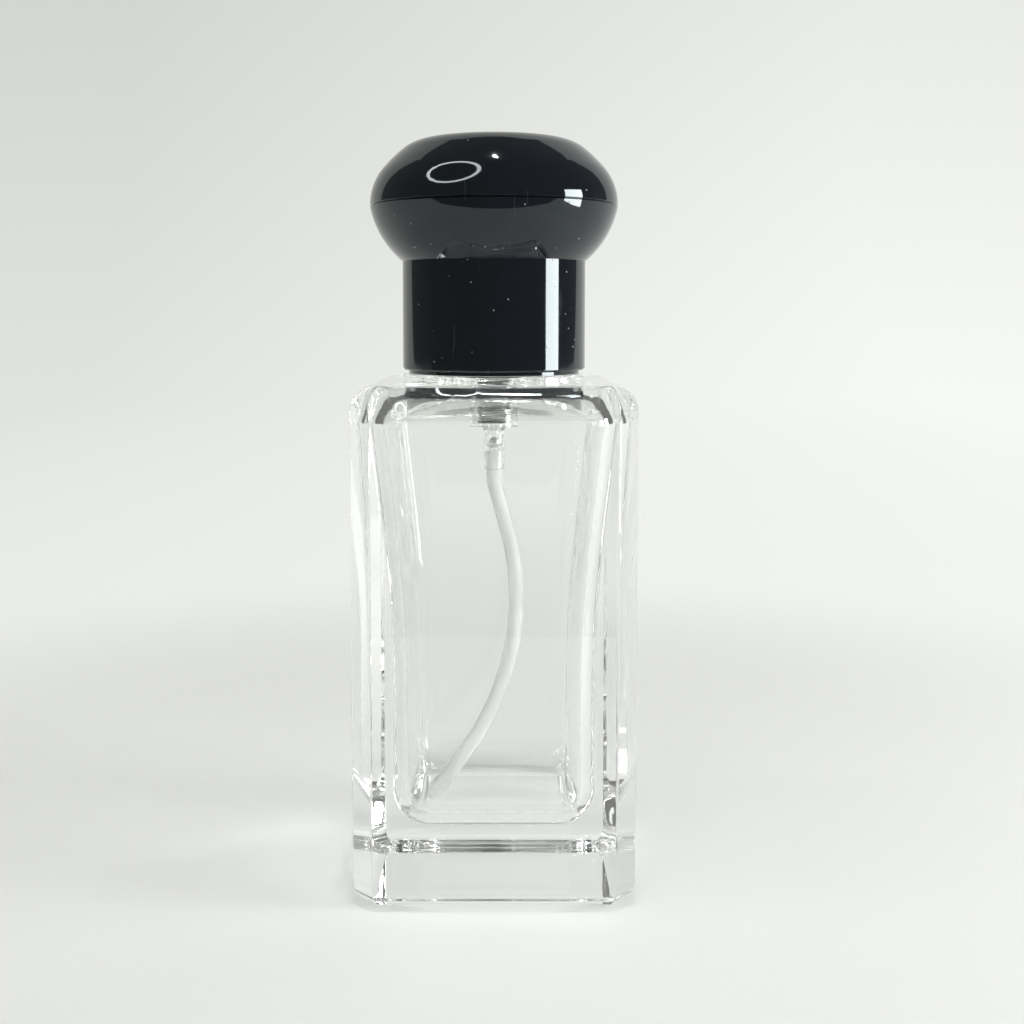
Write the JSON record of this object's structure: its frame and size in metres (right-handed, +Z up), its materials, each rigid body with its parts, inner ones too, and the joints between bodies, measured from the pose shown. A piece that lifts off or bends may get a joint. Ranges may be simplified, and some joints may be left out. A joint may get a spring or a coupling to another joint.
{
  "type": "aftershave bottle",
  "caption": "Clear square glass spray bottle with a crimped pump, sprung push button, bent dip tube and a glossy black mushroom-shaped cap that pulls off",
  "frame": {"origin": "middle of the base, on the surface it stands on", "axes": "+Z up, the spray leaves towards -Y, +X to the right as seen from the front"},
  "size_m": [0.035, 0.035, 0.096],
  "materials": {
    "clear_glass": "clear, polished",
    "gasket_rubber": "matt",
    "milky_plastic": "translucent",
    "white_plastic": "natural white",
    "ferrule_metal": "satin",
    "black_plastic": "gloss black",
    "ball_steel": "polished",
    "spring_steel": "drawn wire",
    "piston_plastic": "soft natural",
    "insert_plastic": "gloss black",
    "liner_plastic": "natural white"
  },
  "bodies": {
    "bottle": {"bottle": "clear_glass", "neck_gasket": "gasket_rubber", "pump_housing": "milky_plastic", "turret": "white_plastic", "ferrule": "ferrule_metal", "collar": "black_plastic", "dip_tube": "milky_plastic", "return_spring": "spring_steel"},
    "stem": {"stem": "white_plastic", "poppet": "white_plastic"},
    "piston": {"piston": "piston_plastic"},
    "actuator": {"actuator": "black_plastic", "nozzle_insert": "insert_plastic"},
    "inlet_ball": {"inlet_ball": "ball_steel"},
    "cap": {"cap_shell": "black_plastic", "cap_dome": "black_plastic", "cap_liner": "liner_plastic"}
  },
  "joints": [
    {"name": "pump_press", "type": "slide", "parent": "bottle", "child": "stem", "axis": [0, 0, -1], "range_m": [0, 0.004], "stiffness_N_per_m": 2000, "springref_m": -0.004, "deforming": ["return_spring"]},
    {"name": "piston_slip", "type": "slide", "parent": "stem", "child": "piston", "axis": [0, 0, 1], "range_m": [0, 0.00045]},
    {"name": "button_turn", "type": "hinge", "parent": "stem", "child": "actuator", "pos_m": [0, 0, 0.0836], "axis": [0, 0, 1], "continuous": true},
    {"name": "ball_lift", "type": "slide", "parent": "bottle", "child": "inlet_ball", "axis": [0, 0, 1], "range_m": [0, 0.0009]},
    {"name": "cap_lift", "type": "slide", "parent": "bottle", "child": "cap", "axis": [0, 0, 1], "range_m": [0, 0.035]}
  ]
}
